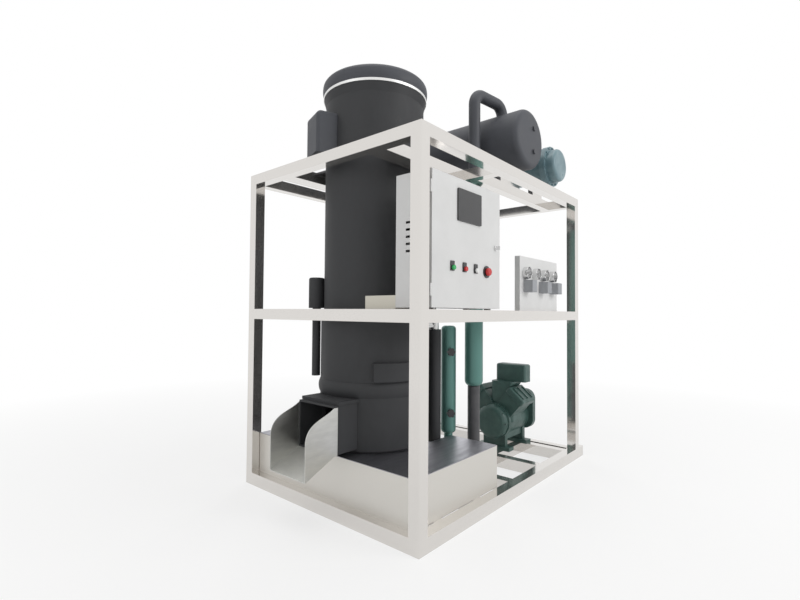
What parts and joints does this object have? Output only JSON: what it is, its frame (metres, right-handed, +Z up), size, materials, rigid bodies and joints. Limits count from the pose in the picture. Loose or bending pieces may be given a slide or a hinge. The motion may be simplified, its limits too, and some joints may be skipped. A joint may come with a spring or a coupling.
{
  "type": "tube ice machine",
  "caption": "Tube ice machine on an open stainless frame, with a lagged evaporator, cutter housing, ice chute, water tank, cabinet, compressor and vessels.",
  "frame": {"origin": "middle of the frame's footprint, at floor level", "axes": "+Z up, +X along the long side to the compressor end, -Y the control side"},
  "size_m": [2.119, 1.358, 2.4359],
  "materials": {
    "polished_tube": "polished",
    "lagging": "matte",
    "bright_steel": "satin",
    "brushed_sheet": "brushed",
    "grey_casting": "satin",
    "motor_paint": "satin",
    "cabinet_paint": "satin",
    "galvanised": "satin",
    "beige_plastic": "matte",
    "screen_black": "gloss",
    "green_plastic": "gloss",
    "red_plastic": "gloss",
    "white_plastic": "gloss",
    "vessel_green": "satin",
    "compressor_green": "satin",
    "dark_grey": "satin",
    "gauge_steel": "polished",
    "needle_black": "satin",
    "switch_grey": "matte"
  },
  "bodies": {
    "machine": {"access_cover": "lagging", "base_frame": "polished_tube", "cabinet_case": "cabinet_paint", "cable_trunk": "beige_plastic", "cap_ring": "bright_steel", "compressor_body": "compressor_green", "condenser_heads": "vessel_green", "condenser_shell": "vessel_green", "cutter_gearbox": "grey_casting", "cutter_housing": "lagging", "cutter_motor": "motor_paint", "cylinder_heads": "compressor_green", "drain_plate": "bright_steel", "evaporator_cap": "lagging", "evaporator_collar": "lagging", "evaporator_lugs": "polished_tube", "evaporator_shell": "lagging", "gauge_cases": "gauge_steel", "gauge_panel": "cabinet_paint", "ice_chute": "brushed_sheet", "ice_tubes": "bright_steel", "level_column": "lagging", "low_pressure_vessel": "lagging", "mid_frame": "polished_tube", "mounting_plate": "galvanised", "oil_separator": "vessel_green", "outlet_lid": "lagging", "outlet_throat": "lagging", "post_back_left": "polished_tube", "post_back_right": "polished_tube", "post_front_left": "polished_tube", "post_front_right": "polished_tube", "pressure_switches": "switch_grey", "receiver": "vessel_green", "riser_union": "bright_steel", "separator_foot": "dark_grey", "side_box": "lagging", "suction_pipe": "lagging", "tank_cover": "brushed_sheet", "terminal_box": "compressor_green", "top_frame": "polished_tube", "top_saddles": "polished_tube", "water_pump": "motor_paint", "water_riser": "lagging", "water_tank": "brushed_sheet"},
    "door": {"cabinet_door": "cabinet_paint", "door_screen": "screen_black", "button_bezels": "screen_black"},
    "green_button": {"button_green": "green_plastic"},
    "red_button": {"button_red": "red_plastic"},
    "white_button": {"button_white": "white_plastic"},
    "stop": {"stop_button": "red_plastic"},
    "lock": {"door_lock": "bright_steel"},
    "cutter": {"ice_cutter": "bright_steel"},
    "knob_lower": {"valve_knob_lower": "screen_black"},
    "knob_upper": {"valve_knob_upper": "screen_black"},
    "needle_1": {"gauge_needle_1": "needle_black"},
    "needle_2": {"gauge_needle_2": "needle_black"},
    "needle_3": {"gauge_needle_3": "needle_black"},
    "needle_4": {"gauge_needle_4": "needle_black"}
  },
  "joints": [
    {"name": "door_hinge", "type": "hinge", "parent": "machine", "child": "door", "pos_m": [-0.851, -0.665, 1.36], "axis": [0, 0, -1], "range_deg": [0, 110]},
    {"name": "lock_turn", "type": "hinge", "parent": "door", "child": "lock", "pos_m": [-0.286, -0.665, 1.372], "axis": [0, 1, 0], "range_deg": [0, 90]},
    {"name": "cutter_spin", "type": "hinge", "parent": "machine", "child": "cutter", "pos_m": [-0.517, 0, 0.5], "axis": [0, 0, 1], "continuous": true},
    {"name": "green_press", "type": "slide", "parent": "door", "child": "green_button", "axis": [0, 1, 0], "range_m": [0, 0.003], "stiffness_N_per_m": 400},
    {"name": "red_press", "type": "slide", "parent": "door", "child": "red_button", "axis": [0, 1, 0], "range_m": [0, 0.003], "stiffness_N_per_m": 400},
    {"name": "white_press", "type": "slide", "parent": "door", "child": "white_button", "axis": [0, 1, 0], "range_m": [0, 0.003], "stiffness_N_per_m": 400},
    {"name": "stop_press", "type": "slide", "parent": "door", "child": "stop", "axis": [0, 1, 0], "range_m": [0, 0.003], "stiffness_N_per_m": 600},
    {"name": "knob_lower_turn", "type": "hinge", "parent": "machine", "child": "knob_lower", "pos_m": [-0.1416, -0.2856, 0.43], "axis": [0.682, 0.7314, 0], "continuous": true},
    {"name": "knob_upper_turn", "type": "hinge", "parent": "machine", "child": "knob_upper", "pos_m": [-0.1416, -0.2856, 0.795], "axis": [0.682, 0.7314, 0], "continuous": true},
    {"name": "needle_1_turn", "type": "hinge", "parent": "machine", "child": "needle_1", "pos_m": [0.128, -0.652, 1.272], "axis": [0, 1, 0], "range_deg": [0, 270], "stiffness_Nm_per_rad": 0.01},
    {"name": "needle_2_turn", "type": "hinge", "parent": "machine", "child": "needle_2", "pos_m": [0.261, -0.652, 1.272], "axis": [0, 1, 0], "range_deg": [0, 270], "stiffness_Nm_per_rad": 0.01},
    {"name": "needle_3_turn", "type": "hinge", "parent": "machine", "child": "needle_3", "pos_m": [0.387, -0.652, 1.272], "axis": [0, 1, 0], "range_deg": [0, 270], "stiffness_Nm_per_rad": 0.01},
    {"name": "needle_4_turn", "type": "hinge", "parent": "machine", "child": "needle_4", "pos_m": [0.513, -0.652, 1.272], "axis": [0, 1, 0], "range_deg": [0, 270], "stiffness_Nm_per_rad": 0.01}
  ]
}
